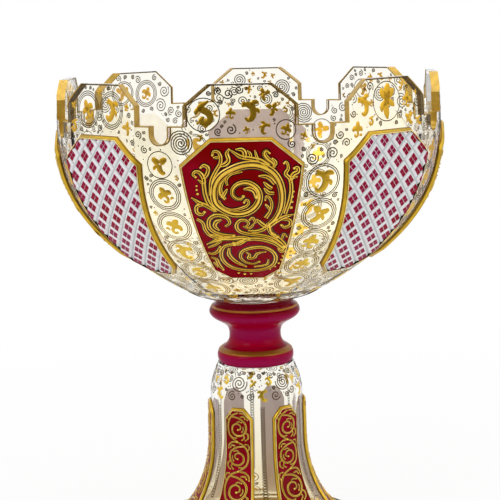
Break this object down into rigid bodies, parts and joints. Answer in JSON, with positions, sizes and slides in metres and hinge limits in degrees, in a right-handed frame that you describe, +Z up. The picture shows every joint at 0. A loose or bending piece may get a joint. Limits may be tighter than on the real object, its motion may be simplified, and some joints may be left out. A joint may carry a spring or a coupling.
{
  "type": "overlay glass vase",
  "caption": "Footed vase of clear cut glass with a battlemented rim, ruby over white overlay panels in gilt frames, a ruby knop and a bell foot.",
  "frame": {"origin": "centre of the underside of the foot", "axes": "+Z up along the axis of the bowl and the foot, -Y out through the middle of the first ruby bowl panel"},
  "size_m": [0.2402, 0.2402, 0.3],
  "materials": {
    "clear_glass": "polished clear crystal",
    "white_glass": "opal white casing",
    "ruby_glass": "polished ruby casing over white",
    "gilding": "burnished gilt"
  },
  "bodies": {
    "root": {"bowl": "clear_glass", "bowl_gilt_collar": "gilding", "rim_gilding_1": "gilding", "rim_gilding_2": "gilding", "rim_gilding_3": "gilding", "rim_gilding_4": "gilding", "rim_gilding_5": "gilding", "rim_gilding_6": "gilding", "rim_gilding_7": "gilding", "rim_gilding_8": "gilding", "bowl_panel_white_ground_1": "white_glass", "bowl_panel_ruby_face_1": "ruby_glass", "bowl_panel_gilt_frame_1": "gilding", "bowl_panel_white_ground_2": "white_glass", "bowl_panel_ruby_face_2": "ruby_glass", "bowl_panel_gilt_frame_2": "gilding", "bowl_panel_white_ground_3": "white_glass", "bowl_panel_ruby_face_3": "ruby_glass", "bowl_panel_gilt_frame_3": "gilding", "bowl_panel_white_ground_4": "white_glass", "bowl_panel_ruby_face_4": "ruby_glass", "bowl_panel_gilt_frame_4": "gilding", "bowl_panel_white_ground_5": "white_glass", "bowl_panel_ruby_face_5": "ruby_glass", "bowl_panel_gilt_frame_5": "gilding", "bowl_panel_white_ground_6": "white_glass", "bowl_panel_ruby_face_6": "ruby_glass", "bowl_panel_gilt_frame_6": "gilding", "bowl_panel_white_ground_7": "white_glass", "bowl_panel_ruby_face_7": "ruby_glass", "bowl_panel_gilt_frame_7": "gilding", "bowl_panel_white_ground_8": "white_glass", "bowl_panel_ruby_face_8": "ruby_glass", "bowl_panel_gilt_frame_8": "gilding", "knop_core": "clear_glass", "knop_ruby_casing": "ruby_glass", "knop_upper_gilt_band": "gilding", "knop_lower_gilt_band": "gilding", "foot": "clear_glass", "foot_gilt_rim": "gilding", "foot_panel_white_ground_1": "white_glass", "foot_panel_ruby_face_1": "ruby_glass", "foot_panel_gilt_frame_1": "gilding", "foot_panel_white_ground_2": "white_glass", "foot_panel_ruby_face_2": "ruby_glass", "foot_panel_gilt_frame_2": "gilding", "foot_panel_white_ground_3": "white_glass", "foot_panel_ruby_face_3": "ruby_glass", "foot_panel_gilt_frame_3": "gilding", "foot_panel_white_ground_4": "white_glass", "foot_panel_ruby_face_4": "ruby_glass", "foot_panel_gilt_frame_4": "gilding", "foot_panel_white_ground_5": "white_glass", "foot_panel_ruby_face_5": "ruby_glass", "foot_panel_gilt_frame_5": "gilding", "foot_panel_white_ground_6": "white_glass", "foot_panel_ruby_face_6": "ruby_glass", "foot_panel_gilt_frame_6": "gilding"}
  },
  "joints": []
}
